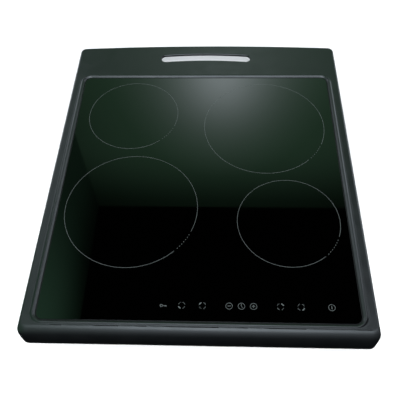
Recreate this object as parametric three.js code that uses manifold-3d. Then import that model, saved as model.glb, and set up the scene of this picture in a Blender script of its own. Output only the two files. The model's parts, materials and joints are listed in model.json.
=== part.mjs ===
// Four-zone glass-ceramic hob top of a 50 cm free-standing cooker, as an assembly of separate pieces.
// A pressed steel surround carries a 4 mm glass-ceramic plate on a ledge. A shallow steel tray hangs
// under the plate and holds four radiant heaters on leaf springs, a touch-control module and the wiring.
// Units are millimetres. +Z is up, +X is to the user's right and +Y points to the back of the cooker.
// The origin is the centre of the object's footprint, on the surface that the tray stands on.
import * as THREE from "three";
import { mergeVertices } from "three/addons/utils/BufferGeometryUtils.js";
import Module from "manifold-3d";

const wasm = await Module();
wasm.setup();

// ---------------------------------------------------------------- driving dimensions

const GAP = 0.3; // air between two touching pieces
const DECK_Z = 54; // top of the surround and of the glass
const FRAME_WIDTH = 498;
const FRAME_DEPTH = 600;
const SKIRT_HEIGHT = 31;
const SHEET = 1.5; // thickness of the surround
const PLAN_CORNER = { front: 12, rear: 11 };
const REAR_BOW = 7; // how far the middle of the rear edge stands behind its ends
const NOSE = { y: 16, z: 28 }; // half axes of the rolled front edge
const REAR_ROLL = { y: 6, z: 8 };
const SIDE_ROLL = { x: 4, z: 5 };
const REAR_SKIRT = { height: 20, reach: 205 }; // shorter than the rest, so that air can leave below it
const RIM = { inner: 243, outer: 248.4, front: -255, rear: 265 }; // flanges that the sides stand on

const GLASS_Y = -35; // centre of the glass along the depth
const OPENING = { x: 227.5, y: 242.5, corner: 12.5 }; // half sizes inside the surround's bead
const GLASS = { inset: 1.5, thick: 4 };
const LEDGE = { width: 7.7, top: 48.4, thick: 1.5 };
const BEAD_HEIGHT = 2.2;

const SLOT = { length: 172, width: 17, radius: 800, y: 265.5, lip: 4 };

const TRAY = { x: 222, y: 236, corner: 10, sheet: 1, top: 46.4, flange: 21 };
const TRAY_REAR_Y = GLASS_Y + TRAY.y;
const TRAY_FRONT_Y = GLASS_Y - TRAY.y;

// Cooking zones, from the centre of the glass. turn is where the limiter's head points, in degrees.
const ZONES = [
  { id: "rear_left", x: -126, y: 147, radius: 79.5, turn: -40 },
  { id: "rear_right", x: 106, y: 120, radius: 104.5, turn: 215 },
  { id: "front_left", x: -110, y: -55, radius: 104.5, turn: 20 },
  { id: "front_right", x: 136, y: -77, radius: 79.5, turn: 140 },
];
const PAN = { beyondZone: 3, sheet: 0.8, bottom: 21, rim: 48.2, knee: 3 };
const INSULATION = { top: DECK_Z - GLASS.thick - GAP, floor: 35, ring: 12 };
const ROD = { radius: 3, z: 42.5 };
const HEAD = { length: 26, width: 14, low: 34, high: 46, standOff: 2 };
const RIBBON = { thick: 1.2, low: 35.3, high: 39, turns: 3, hub: 16, steps: 22 };
const SPRING = { length: 92, width: 20, sheet: 1, top: 32 };

const KEYS_Y = GLASS_Y - 216.5; // line of the touch keys
const KEYS_X = [-48.5, -22, 7, 44.3, 61.3, 78.3, 115.6, 144.4, 186];
const HOUSING = { left: -72, right: 206, front: -268, rear: -211, low: 1.3, high: 44, wall: 1.5 };
const POWER_BOARD_Z = 8;
const TOUCH_BOARD_Z = 37;
const BOARD = 1.6;
const SHIELD_Y = -206;
const DISPLAYS = [
  { name: "left", x: -7.5, width: 26 },
  { name: "timer", x: 61.3, width: 24 },
  { name: "right", x: 130, width: 26 },
];
const RELAYS = { count: 4, first: 62, pitch: 28 };

const LEAD_RADIUS = 2;
const SUPPLY_RADIUS = 3.5;
const WIRE_NOTCH = { left: 2, right: 42, high: 19 };

const TERMINAL = { left: -50, right: 16, low: 7, high: 37, rear: 236, wall: 2 };

const SUPPLY = { x: -16, z: 16 }; // where the supply lead goes through the tray wall
const HINGE = { y: TERMINAL.rear - 3, z: TERMINAL.high + 2.4, radius: 1.4 };
const GLAND = { radius: 7, bore: 4.8, y: TRAY_REAR_Y + 21, z: 17 };

const SCREW_YS = { front: -225, rear: 150 }; // tray screws and their brackets, along each side
const SCREW_X = 238;
const BRACKET = { halfWidth: 9, foot: 30 };
const REAR_HOOK = { x: 175, halfWidth: 15, high: 46, low: 8, depth: 14, tip: 16 };
const FRONT_TAB = { x: 150, setBack: 12, width: 28, high: 50.5, low: 8, foot: 14 };
const TAB_HOLE = { radius: 2.5, back: 7.5 };

// ---------------------------------------------------------------- finishes

const finish = (color, roughness, metalness) =>
  new THREE.MeshStandardMaterial({ color, roughness, metalness });

const FINISH = {
  enamel: finish(0x30393b, 0.38, 0.1),
  glass: finish(0x050806, 0.04, 0),
  silicone: finish(0x111213, 0.7, 0),
  galvanised: finish(0xa9adae, 0.45, 0.8),
  spring: finish(0xc4c2bb, 0.35, 0.9),
  fibre: finish(0xe6e0d2, 0.95, 0),
  ribbon: finish(0x6a6762, 0.6, 0.6),
  ceramic: finish(0xf0ebe0, 0.6, 0),
  plastic: finish(0x1c1d1f, 0.6, 0),
  board: finish(0x1e5a34, 0.5, 0),
  display: finish(0x3a0d0d, 0.3, 0),
  relay: finish(0x20304a, 0.5, 0),
  copper: finish(0x8a5a3c, 0.5, 0.4),
  lead: finish(0xd8d4c8, 0.7, 0),
  supply: finish(0x2a2a2a, 0.6, 0),
  screw: finish(0xb9b6ae, 0.35, 0.9),
};

// ---------------------------------------------------------------- solids

// A closed three.js geometry as a manifold-3d solid whose faces point out.
function solid(geometry) {
  const bare = geometry.index ? geometry.toNonIndexed() : geometry.clone();
  for (const name of Object.keys(bare.attributes)) {
    if (name !== "position") bare.deleteAttribute(name);
  }
  const merged = mergeVertices(bare, 1e-4);
  const triVerts = new Uint32Array(merged.index.array);
  const vertProperties = merged.attributes.position.array;
  const made = new wasm.Manifold(new wasm.Mesh({ numProp: 3, vertProperties, triVerts }));
  if (made.volume() > 0) return made;
  for (let i = 0; i < triVerts.length; i += 3) {
    [triVerts[i + 1], triVerts[i + 2]] = [triVerts[i + 2], triVerts[i + 1]];
  }
  return new wasm.Manifold(new wasm.Mesh({ numProp: 3, vertProperties, triVerts }));
}

function geometryOf(made) {
  const mesh = made.getMesh();
  const positions = new Float32Array(mesh.numVert * 3);
  for (let i = 0; i < mesh.numVert; i++) {
    const from = i * mesh.numProp;
    positions.set(mesh.vertProperties.subarray(from, from + 3), i * 3);
  }
  const geometry = new THREE.BufferGeometry();
  geometry.setAttribute("position", new THREE.BufferAttribute(positions, 3));
  geometry.setIndex(new THREE.BufferAttribute(mesh.triVerts, 1));
  geometry.computeVertexNormals();
  return geometry;
}

const join = (first, ...others) => others.reduce((sum, next) => sum.add(next), first);
const cut = (first, ...others) => others.reduce((left, next) => left.subtract(next), first);

// A block between two corners.
function block(x0, x1, y0, y1, z0, z1) {
  const geometry = new THREE.BoxGeometry(x1 - x0, y1 - y0, z1 - z0);
  return solid(geometry.translate((x0 + x1) / 2, (y0 + y1) / 2, (z0 + z1) / 2));
}

// A shape in the XY plane, raised from z0 to z1.
function prism(shape, z0, z1, curveSegments = 5) {
  const options = { depth: z1 - z0, bevelEnabled: false, curveSegments };
  return solid(new THREE.ExtrudeGeometry(shape, options).translate(0, 0, z0));
}

// A shape in the YZ plane, given a width along X.
function acrossX(shape, x0, x1) {
  const geometry = new THREE.ExtrudeGeometry(shape, { depth: x1 - x0, bevelEnabled: false });
  return solid(geometry.rotateX(Math.PI / 2).rotateZ(Math.PI / 2).translate(x0, 0, 0));
}

// A shape in the XZ plane, given a width along Y.
function slab(shape, y0, y1) {
  const geometry = new THREE.ExtrudeGeometry(shape, { depth: y1 - y0, bevelEnabled: false });
  return solid(geometry.rotateX(Math.PI / 2).translate(0, y1, 0));
}

function polygon(points) {
  return new THREE.Shape(points.map(([x, y]) => new THREE.Vector2(x, y)));
}

// The section of a bent sheet: a line of points, thickened to the right of the way it runs.
function bentSheet(line, thick) {
  const right = (from, to) => {
    const length = Math.hypot(to[0] - from[0], to[1] - from[1]);
    return [(to[1] - from[1]) / length, (from[0] - to[0]) / length];
  };
  const inner = line.map((point, i) => {
    const before = right(...(i > 0 ? [line[i - 1], point] : [point, line[i + 1]]));
    const after = right(...(i < line.length - 1 ? [point, line[i + 1]] : [line[i - 1], point]));
    const mitre = thick / (1 + before[0] * after[0] + before[1] * after[1]);
    return [point[0] + (before[0] + after[0]) * mitre, point[1] + (before[1] + after[1]) * mitre];
  });
  return polygon([...line, ...inner.reverse()]);
}

function roundedRectangle(halfX, halfY, corner, centreX = 0, centreY = 0) {
  const shape = new THREE.Shape();
  const corners = [
    [halfX - corner, halfY - corner, 0],
    [corner - halfX, halfY - corner, 1],
    [corner - halfX, corner - halfY, 2],
    [halfX - corner, corner - halfY, 3],
  ];
  for (const [x, y, quarter] of corners) {
    const start = (quarter * Math.PI) / 2;
    shape.absarc(centreX + x, centreY + y, corner, start, start + Math.PI / 2, false);
  }
  return shape;
}

// A cylinder along Z between two heights.
function upright(radius, x, y, z0, z1, sides = 14) {
  const geometry = new THREE.CylinderGeometry(radius, radius, z1 - z0, sides).rotateX(Math.PI / 2);
  return solid(geometry.translate(x, y, (z0 + z1) / 2));
}

// A cylinder along X or Y, centred on a point.
function bar(radius, length, alongX, x, y, z, sides = 14) {
  const geometry = new THREE.CylinderGeometry(radius, radius, length, sides);
  if (alongX) geometry.rotateZ(Math.PI / 2);
  return solid(geometry.translate(x, y, z));
}

// A closed profile of [radius, z] points turned about a vertical axis.
function turned(profile, sides) {
  const points = [...profile, profile[0]].map(([r, z]) => new THREE.Vector2(r, z));
  return solid(new THREE.LatheGeometry(points, sides).rotateX(Math.PI / 2));
}

// A profile of [outward, z] points carried round a rounded rectangle that is centred on the glass.
function carried(profile, cornerSteps = 5) {
  const stations = [];
  for (let quarter = 0; quarter < 4; quarter++) {
    const sign = [[1, 1], [-1, 1], [-1, -1], [1, -1]][quarter];
    for (let step = 0; step <= cornerSteps; step++) {
      const angle = ((quarter + step / cornerSteps) * Math.PI) / 2;
      stations.push({
        x: sign[0] * (OPENING.x - OPENING.corner),
        y: sign[1] * (OPENING.y - OPENING.corner) + GLASS_Y,
        nx: Math.cos(angle),
        ny: Math.sin(angle),
      });
    }
  }
  const rings = stations.map(({ x, y, nx, ny }) =>
    profile.map(([outward, z]) => {
      const reach = OPENING.corner + outward;
      return [x + nx * reach, y + ny * reach, z];
    }),
  );
  return solid(skin(rings, true));
}

// Triangles between rings of points that have the same count. The rings either close into a loop, or the
// first and the last are capped; flatten gives the two coordinates that a capped ring spreads over.
function skin(rings, looped, flatten = ([, y, z]) => [y, z]) {
  const count = rings[0].length;
  const positions = rings.flat(2);
  const index = [];
  const pairs = looped ? rings.length : rings.length - 1;
  for (let i = 0; i < pairs; i++) {
    const near = i * count;
    const far = ((i + 1) % rings.length) * count;
    for (let j = 0; j < count; j++) {
      const next = (j + 1) % count;
      index.push(near + j, near + next, far + next, near + j, far + next, far + j);
    }
  }
  if (!looped) {
    const last = (rings.length - 1) * count;
    for (const [a, b, c] of capFaces(rings[0].map(flatten))) index.push(a, c, b);
    for (const [a, b, c] of capFaces(rings[rings.length - 1].map(flatten))) {
      index.push(last + a, last + b, last + c);
    }
  }
  const geometry = new THREE.BufferGeometry();
  geometry.setAttribute("position", new THREE.Float32BufferAttribute(positions, 3));
  geometry.setIndex(index);
  return geometry;
}

// Triangles that fill a flat ring and turn the same way as the ring does.
function capFaces(ring) {
  const points = ring.map(([u, v]) => new THREE.Vector2(u, v));
  const turn = Math.sign(THREE.ShapeUtils.area(points));
  return THREE.ShapeUtils.triangulateShape([...points], []).map(([a, b, c]) => {
    const same = Math.sign(THREE.ShapeUtils.area([points[a], points[b], points[c]])) === turn;
    return same ? [a, b, c] : [a, c, b];
  });
}

// ---------------------------------------------------------------- surround

const CORNER_STEPS = 6;
const NOSE_STEPS = 7;
const REAR_STEPS = 3;
const BOW_STEPS = 12;

// How far the rear edge falls back from its middle at x.
const rearBowAt = (x) => REAR_BOW * (x / (FRAME_WIDTH / 2)) ** 2;

// How far a rounded corner has fallen back at a distance from the edge.
const roundedBack = (radius, e) => (e < radius ? radius - Math.sqrt(radius ** 2 - (radius - e) ** 2) : 0);

// Places along X where the surround's section changes, close together in the rounded corners.
function surroundStations(inset) {
  const half = FRAME_WIDTH / 2 - inset;
  const corner = PLAN_CORNER.front - inset;
  const ends = [];
  for (let i = 0; i <= CORNER_STEPS; i++) {
    ends.push(corner * (1 - Math.cos((i * Math.PI) / 2 / CORNER_STEPS)));
  }
  const flat = half - corner;
  const middle = [];
  for (let i = 1; i < BOW_STEPS; i++) middle.push(-flat + (2 * flat * i) / BOW_STEPS);
  return [...ends.map((e) => e - half), ...middle, ...ends.map((e) => half - e).reverse()];
}

// The surround's outer body, or with an inset its hollow: side profiles from the left end to the right end.
function surroundBody(inset, bottom) {
  const half = FRAME_WIDTH / 2 - inset;
  const roll = { x: SIDE_ROLL.x - inset, z: SIDE_ROLL.z - inset };
  const rings = surroundStations(inset).map((x) => {
    const e = half - Math.abs(x);
    const drop = e < roll.x ? roll.z * (1 - Math.sqrt(1 - ((roll.x - e) / roll.x) ** 2)) : 0;
    const top = DECK_Z - inset - drop;
    const front = -FRAME_DEPTH / 2 + inset + roundedBack(PLAN_CORNER.front - inset, e);
    const rear = FRAME_DEPTH / 2 - inset - roundedBack(PLAN_CORNER.rear - inset, e) - rearBowAt(x);
    const nose = { y: NOSE.y - inset, z: NOSE.z - inset - drop };
    const tail = { y: REAR_ROLL.y - inset, z: REAR_ROLL.z - inset };
    const ring = [[x, front, bottom]];
    for (let k = 0; k <= NOSE_STEPS; k++) {
      const angle = (k * Math.PI) / 2 / NOSE_STEPS;
      ring.push([x, front + nose.y * (1 - Math.cos(angle)), top - nose.z * (1 - Math.sin(angle))]);
    }
    for (let k = REAR_STEPS; k >= 0; k--) {
      const angle = (k * Math.PI) / 2 / REAR_STEPS;
      ring.push([x, rear - tail.y * (1 - Math.cos(angle)), top - tail.z * (1 - Math.sin(angle))]);
    }
    ring.push([x, rear, bottom]);
    return ring;
  });
  return solid(skin(rings, false));
}

// Outline of the vent slot, a bent stadium, grown by some millimetres.
function slotOutline(grow) {
  const centreY = SLOT.y - SLOT.radius;
  const half = SLOT.width / 2 + grow;
  const reach = Math.asin((SLOT.length / 2 - SLOT.width / 2) / SLOT.radius);
  const points = [];
  const arcSteps = 8;
  const endSteps = 6;
  const at = (radius, angle) => [radius * Math.sin(angle), centreY + radius * Math.cos(angle)];
  for (let i = 0; i <= arcSteps; i++) {
    points.push(at(SLOT.radius + half, reach - (2 * reach * i) / arcSteps));
  }
  for (let i = 1; i < endSteps; i++) points.push(slotEnd(-reach, Math.PI / 2 + (i * Math.PI) / endSteps));
  for (let i = 0; i <= arcSteps; i++) {
    points.push(at(SLOT.radius - half, -reach + (2 * reach * i) / arcSteps));
  }
  for (let i = 1; i < endSteps; i++) points.push(slotEnd(reach, -Math.PI / 2 + (i * Math.PI) / endSteps));
  return polygon(points);

  function slotEnd(bearing, turn) {
    const [x, y] = at(SLOT.radius, bearing);
    return [x + half * Math.cos(turn - bearing), y + half * Math.sin(turn - bearing)];
  }
}

function hobFrame() {
  const skirtFoot = DECK_Z - SKIRT_HEIGHT;
  const { reach, height } = REAR_SKIRT;
  const rearGap = block(-reach, reach, 270, 301, skirtFoot - 1, DECK_Z - height);
  const shell = cut(surroundBody(0, skirtFoot), surroundBody(SHEET, skirtFoot - 1), rearGap);
  const rims = [-1, 1].map((side) => {
    const [x0, x1] = [side * RIM.inner, side * RIM.outer].sort((a, b) => a - b);
    return block(x0, x1, RIM.front, RIM.rear, skirtFoot, skirtFoot + SHEET);
  });
  const wall = 2;
  const crest = DECK_Z + BEAD_HEIGHT;
  const ledgeFoot = LEDGE.top - LEDGE.thick;
  // Section of the well that the glass lies in: ledge, wall, rounded bead and its foot on the deck.
  const well = carried([
    [-LEDGE.width, LEDGE.top],
    [-LEDGE.width, ledgeFoot],
    [wall, ledgeFoot],
    [wall, DECK_Z - SHEET + 0.2],
    [6.3, DECK_Z - SHEET + 0.2],
    [6.3, DECK_Z - 0.05],
    [5.8, DECK_Z + 0.3],
    [4.9, DECK_Z + 1.2],
    [3.9, crest - 0.3],
    [2.9, crest],
    [1.8, crest - 0.1],
    [0.7, crest - 0.7],
    [0, crest - 1.7],
    [0, LEDGE.top],
  ]);
  const mouth = roundedRectangle(OPENING.x + 1, OPENING.y + 1, OPENING.corner + 1, 0, GLASS_Y);
  const lip = cut(
    prism(slotOutline(SHEET), DECK_Z - SLOT.lip, DECK_Z - 0.5),
    prism(slotOutline(0), DECK_Z - SLOT.lip - 1, DECK_Z + 1),
  );
  return join(
    cut(shell, prism(mouth, DECK_Z - 5, DECK_Z + 5), prism(slotOutline(0.4), DECK_Z - 5, DECK_Z + 5)),
    well,
    lip,
    ...rims,
  );
}

// ---------------------------------------------------------------- glass and its seal

function glassPlate() {
  const edge = 0.6; // ground edge all round
  const top = DECK_Z;
  const bottom = DECK_Z - GLASS.thick;
  const outline = (inset) =>
    roundedRectangle(
      OPENING.x - GLASS.inset - inset,
      OPENING.y - GLASS.inset - inset,
      OPENING.corner - GLASS.inset - inset,
      0,
      GLASS_Y,
    );
  const rings = [
    [edge, bottom],
    [0, bottom + edge],
    [0, top - edge],
    [edge, top],
  ].map(([inset, z]) => outline(inset).getPoints(5).map(({ x, y }) => [x, y, z]));
  return solid(skin(rings, false, ([x, y]) => [x, y]));
}

function glassSeal() {
  const bed = LEDGE.top + GAP;
  const underGlass = DECK_Z - GLASS.thick - GAP;
  return carried([
    [-LEDGE.width + 0.7, bed],
    [-GAP, bed],
    [-GAP, DECK_Z - 0.4],
    [-GLASS.inset + GAP, DECK_Z - 0.4],
    [-GLASS.inset + GAP, underGlass],
    [-LEDGE.width + 0.7, underGlass],
  ]);
}

// ---------------------------------------------------------------- tray

function baseTray() {
  const body = (grow, z0, z1) =>
    prism(roundedRectangle(TRAY.x + grow, TRAY.y + grow, TRAY.corner + grow, 0, GLASS_Y), z0, z1, 4);
  const flangeLow = TRAY.top - TRAY.sheet;
  // The flange is wide at the sides, where the fixing screws go through it, and narrow at front and rear.
  const flange = prism(
    roundedRectangle(TRAY.x + TRAY.flange, TRAY.y + 10, TRAY.corner, 0, GLASS_Y),
    flangeLow,
    TRAY.top,
    4,
  );
  let tray = cut(join(body(0, 0, TRAY.top), flange), body(-TRAY.sheet, TRAY.sheet, TRAY.top + 1));
  for (const side of [-1, 1]) {
    for (let i = 0; i < 7; i++) {
      const y = GLASS_Y - 165 + i * 55;
      const wall = side * TRAY.x;
      tray = cut(tray, block(wall - 3, wall + 3, y - 14, y + 14, 9, 13));
    }
    for (const y of Object.values(SCREW_YS)) {
      tray = cut(tray, upright(2.4, side * SCREW_X, y, flangeLow - 1, TRAY.top + 1, 10));
    }
  }
  const supplyHole = bar(SUPPLY_RADIUS + 0.8, 10, false, SUPPLY.x, TRAY_REAR_Y, SUPPLY.z, 12);
  return cut(tray, supplyHole);
}

// Folded sheet that keeps the heaters' warmth from the electronics, with a notch for the wires.
function heatShield() {
  const reach = TRAY.x - 2;
  const foot = TRAY.sheet + GAP;
  const section = bentSheet([[SHIELD_Y, 45], [SHIELD_Y, foot], [SHIELD_Y + 9, foot]].reverse(), 1);
  const notch = block(WIRE_NOTCH.left, WIRE_NOTCH.right, SHIELD_Y - 1, SHIELD_Y + 12, 0, WIRE_NOTCH.high);
  return cut(acrossX(section, -reach, reach), notch);
}

// Angle inside the surround's skirt that a tray screw pulls up to.
function sideBracket(side, y) {
  const outer = FRAME_WIDTH / 2 - SHEET - 1;
  const leg = TRAY.top + GAP;
  const top = leg + SHEET;
  const section = bentSheet([[SCREW_X - 6.5, top], [outer, top], [outer, BRACKET.foot]], SHEET);
  const angle = slab(section, y - BRACKET.halfWidth, y + BRACKET.halfWidth);
  const drilled = cut(angle, upright(2.35, SCREW_X, y, leg - 1, top + 1, 10));
  return side > 0 ? drilled : drilled.mirror([1, 0, 0]);
}

// Pan-head screw driven upwards, with a cross recess in its head.
function trayScrew(side, y) {
  const x = side * SCREW_X;
  const head = TRAY.top - TRAY.sheet - GAP;
  const made = join(
    upright(4, x, y, head - 2.4, head, 14),
    upright(2, x, y, head - 0.5, 51.8, 10),
  );
  return cut(
    made,
    block(x - 2, x + 2, y - 0.4, y + 0.4, head - 3, head - 1.2),
    block(x - 0.4, x + 0.4, y - 2, y + 2, head - 3, head - 1.2),
  );
}

// Hook inside the rear skirt that drops behind the cooker's back panel.
function rearHook(x) {
  const { halfWidth, high, low, depth, tip } = REAR_HOOK;
  const face = FRAME_DEPTH / 2 - rearBowAt(Math.abs(x) + halfWidth) - SHEET - GAP;
  const section = bentSheet([[face, high], [face, low], [face - depth, low], [face - depth, tip]], SHEET);
  return acrossX(section, x - halfWidth, x + halfWidth);
}

// Tab that hangs down behind the nose, with a hole for the screw that holds the hob down.
function frontTab(x) {
  const { setBack, width, high, low, foot } = FRONT_TAB;
  const face = setBack - FRAME_DEPTH / 2;
  const section = bentSheet([[face, high], [face, low], [face + foot, low]], -SHEET);
  const screwHole = upright(TAB_HOLE.radius, x, face + TAB_HOLE.back, low - 1, low + SHEET + 1, 12);
  return cut(acrossX(section, x - width / 2, x + width / 2), screwHole);
}

// ---------------------------------------------------------------- heaters

const panRadius = (zone) => zone.radius + PAN.beyondZone;
const PAN_SIDES = 30;

// The hole that the limiter's rod needs through one side of the heater, along +X.
function rodHole(radius, clearance) {
  return bar(ROD.radius + clearance, 30, true, radius - 6, 0, ROD.z, 10);
}

function heaterPan(radius) {
  const { bottom, rim, sheet, knee } = PAN;
  const dish = turned(
    [
      [0, bottom],
      [radius - knee, bottom],
      [radius, bottom + knee],
      [radius, rim],
      [radius - sheet, rim],
      [radius - sheet, bottom + knee + sheet / 2],
      [radius - knee - sheet / 2, bottom + sheet],
      [0, bottom + sheet],
    ],
    PAN_SIDES,
  );
  return cut(dish, rodHole(radius, 0.8));
}

function insulation(radius) {
  const outer = radius - PAN.sheet - GAP - 0.3;
  const bed = PAN.bottom + PAN.sheet + GAP;
  const body = turned(
    [
      [0, bed],
      [outer - PAN.knee, bed],
      [outer, bed + PAN.knee],
      [outer, INSULATION.top],
      [outer - INSULATION.ring + 2, INSULATION.top],
      [outer - INSULATION.ring, INSULATION.floor],
      [0, INSULATION.floor],
    ],
    PAN_SIDES,
  );
  return cut(body, rodHole(radius, 0.8));
}

// Resistance ribbon standing on edge in a flat spiral.
function ribbon(radius) {
  const outer = radius - PAN.sheet - INSULATION.ring - 6;
  const steps = RIBBON.turns * RIBBON.steps;
  const inner = [];
  const outside = [];
  for (let i = 0; i <= steps; i++) {
    const angle = (i * 2 * Math.PI) / RIBBON.steps;
    const r = RIBBON.hub + ((outer - RIBBON.hub) * i) / steps;
    inner.push([r * Math.cos(angle), r * Math.sin(angle)]);
    outside.push([(r + RIBBON.thick) * Math.cos(angle), (r + RIBBON.thick) * Math.sin(angle)]);
  }
  return prism(polygon([...inner, ...outside.reverse()]), RIBBON.low, RIBBON.high);
}

// Rod thermostat: a quartz rod over the ribbon and a ceramic switch head outside the pan, along +X.
function limiter(radius) {
  const start = radius + HEAD.standOff;
  const end = start + HEAD.length;
  const half = HEAD.width / 2;
  const rodStart = -(radius - PAN.sheet - INSULATION.ring - 8);
  const rod = bar(ROD.radius, start - rodStart + 1, true, (start + 1 + rodStart) / 2, 0, ROD.z, 10);
  const head = block(start, end, -half, half, HEAD.low, HEAD.high);
  const cover = block(start + 4, end - 4, -half - 1, half + 1, HEAD.low + 3, HEAD.high - 3);
  return join(rod, head, cover);
}

// Leaf spring that presses a heater up against the glass: two feet, two legs and a flat top.
function leafSpring() {
  const high = PAN.bottom - GAP;
  const { length, width, sheet, top } = SPRING;
  const low = TRAY.sheet + GAP + sheet;
  const half = [
    [top / 2, high],
    [top / 2 + 4, high - 2],
    [length / 2 - 14, low],
    [length / 2, low],
  ];
  const section = bentSheet([...half.map(([x, z]) => [-x, z]).reverse(), ...half], sheet);
  return slab(section, -width / 2, width / 2);
}

// ---------------------------------------------------------------- electronics

function controlHousing() {
  const { left, right, front, rear, low, high, wall } = HOUSING;
  const hollow = block(left + wall, right - wall, front + wall, rear - wall, low + wall, high + 1);
  const wires = block(WIRE_NOTCH.left, WIRE_NOTCH.right, rear - 5, rear + 1, low + wall, high + 1);
  let housing = cut(block(left, right, front, rear, low, high), hollow, wires);
  // Posts in the corners carry the boards.
  for (const x of [left + 4.5, right - 4.5]) {
    for (const y of [front + 4.5, rear - 4.5]) {
      housing = join(housing, upright(3.2, x, y, low + 1, TOUCH_BOARD_Z - GAP, 8));
    }
  }
  return housing;
}

function powerBoard() {
  const { left, right, front, rear } = HOUSING;
  const low = POWER_BOARD_Z;
  const board = block(left + 9, right - 9, front + 2, rear - 4, low, low + BOARD);
  const strip = block(WIRE_NOTCH.left + 1, WIRE_NOTCH.right - 1, rear - 12, rear - 5, low + 1, low + 10);
  const capacitor = upright(6, -52, front + 20, low + 1, low + 18, 12);
  const choke = block(-22, -4, front + 12, front + 30, low + 1, low + 13);
  return join(board, strip, capacitor, choke);
}

// Touch board with a contact spring under each key.
function touchBoard() {
  const { left, right, front, rear } = HOUSING;
  const board = block(left + 2, right - 2, front + 2, rear - 8, TOUCH_BOARD_Z, TOUCH_BOARD_Z + BOARD);
  const springs = KEYS_X.map((x) =>
    join(
      upright(3, x, KEYS_Y, TOUCH_BOARD_Z + 1, DECK_Z - GLASS.thick - 2, 8),
      upright(4.6, x, KEYS_Y, DECK_Z - GLASS.thick - 2.5, DECK_Z - GLASS.thick - 0.5, 10),
    ),
  );
  return join(board, ...springs);
}

// LED digit block that shines up through the glass.
function display(x, width) {
  const rear = KEYS_Y + 26;
  const low = TOUCH_BOARD_Z + BOARD + GAP;
  return block(x - width / 2, x + width / 2, rear - 17, rear, low, DECK_Z - GLASS.thick - 0.6);
}

function relay(x) {
  const low = POWER_BOARD_Z + BOARD + GAP;
  const can = block(x - 10, x + 10, HOUSING.front + 12, HOUSING.front + 28, low, low + 15);
  const lid = block(x - 8.5, x + 8.5, HOUSING.front + 13.5, HOUSING.front + 26.5, low + 14, low + 15.8);
  return join(can, lid);
}

function transformer() {
  const low = POWER_BOARD_Z + BOARD + GAP;
  const front = HOUSING.front + 8;
  const core = block(8, 36, front + 4, front + 20, low, low + 17);
  const coil = block(13, 31, front, front + 24, low + 2, low + 15);
  return join(core, coil);
}

// ---------------------------------------------------------------- terminal box

function terminalHousing() {
  const { left, right, low, high, rear, wall } = TERMINAL;
  const front = TRAY_REAR_Y + GAP;
  const box = block(left, right, front, rear, low, high);
  const hollow = block(left + wall, right - wall, front + wall, rear + 1, low + wall, high - wall);
  const supply = bar(SUPPLY_RADIUS + 0.8, 8, false, SUPPLY.x, front, SUPPLY.z, 12);
  const inlet = bar(GLAND.radius + 0.5, 8, true, right, GLAND.y, GLAND.z, 14);
  let housing = cut(box, hollow, supply, inlet);
  // Two ears on top hold the lid's trunnions.
  for (const x of [left + 9, right - 9]) {
    const ear = block(x - 2, x + 2, HINGE.y - 4, HINGE.y + 3, high - 1, HINGE.z + 3);
    const bore = bar(HINGE.radius + 0.3, 6, true, x, HINGE.y, HINGE.z, 14);
    housing = join(housing, cut(ear, bore));
  }
  return housing;
}

// Five-way terminal strip with ribs between the ways.
function terminalBlock() {
  const { left, right, low } = TERMINAL;
  const front = TRAY_REAR_Y + GAP + TERMINAL.wall + GAP;
  const foot = low + TERMINAL.wall + 10;
  let strip = block(left + 4, right - 13, front + 1, front + 13, foot, foot + 11);
  const ways = 5;
  const pitch = (right - 13 - left - 4 - 1.6) / ways;
  for (let i = 0; i <= ways; i++) {
    const x = left + 4 + i * pitch;
    strip = join(strip, block(x, x + 1.6, front + 1, front + 17, foot, foot + 13));
  }
  return cut(strip, bar(SUPPLY_RADIUS + 0.5, 12, false, SUPPLY.x, front + 1, SUPPLY.z, 12));
}

// Lid that hangs from two trunnions and closes the box by its own weight.
function terminalLid() {
  const { left, right, low, rear } = TERMINAL;
  const face = rear + GAP;
  const inner = [left + 9 + 2 + GAP, right - 9 - 2 - GAP];
  const lid = block(left, right, face, face + 2, low, HINGE.z + 1);
  const arm = block(inner[0], inner[1], HINGE.y - 1.6, face + 1, HINGE.z - 1.6, HINGE.z + 1);
  const middle = (inner[0] + inner[1]) / 2;
  const pin = bar(HINGE.radius, inner[1] - inner[0] + 8, true, middle, HINGE.y, HINGE.z, 12);
  const catchLip = block(left + 22, right - 22, face + 1, face + 5, low, low + 2.5);
  const notches = [left + 9, right - 9].map((x) =>
    block(x - 2.5, x + 2.5, face - 1, face + 3, HINGE.z - 5, HINGE.z + 2),
  );
  return join(cut(join(lid, arm), ...notches), pin, catchLip);
}

// Cable gland in the side of the box, where the supply flex is clamped.
function cableGland() {
  const neck = 4; // the part inside the box wall
  const nut = 9;
  const tip = 17;
  const body = turned(
    [
      [GLAND.bore, 0],
      [GLAND.radius, 0],
      [GLAND.radius, neck],
      [GLAND.radius + 2.6, neck],
      [GLAND.radius + 2.6, nut],
      [GLAND.radius + 0.5, nut],
      [GLAND.radius - 0.8, tip],
      [GLAND.bore, tip],
    ],
    16,
  );
  return body.rotate([0, 90, 0]).translate([TERMINAL.right + GAP - neck, GLAND.y, GLAND.z]);
}

// ---------------------------------------------------------------- wiring

// A round wire along a smooth line through the points.
function wire(points, radius, steps, sides = 8) {
  const path = new THREE.CatmullRomCurve3(points.map((p) => new THREE.Vector3(...p)), false, "centripetal");
  const section = new THREE.Shape();
  for (let i = 0; i < sides; i++) {
    const angle = (i * 2 * Math.PI) / sides;
    const corner = [radius * Math.cos(angle), radius * Math.sin(angle)];
    if (i === 0) section.moveTo(...corner);
    else section.lineTo(...corner);
  }
  section.closePath();
  return solid(new THREE.ExtrudeGeometry(section, { steps, extrudePath: path, bevelEnabled: false }));
}

const zoneRow = (zone) => ({ x: zone.x, y: zone.y + GLASS_Y });
const STRIP_FACE = HOUSING.rear - 5 + GAP; // rear face of the power board's terminal strip

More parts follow.
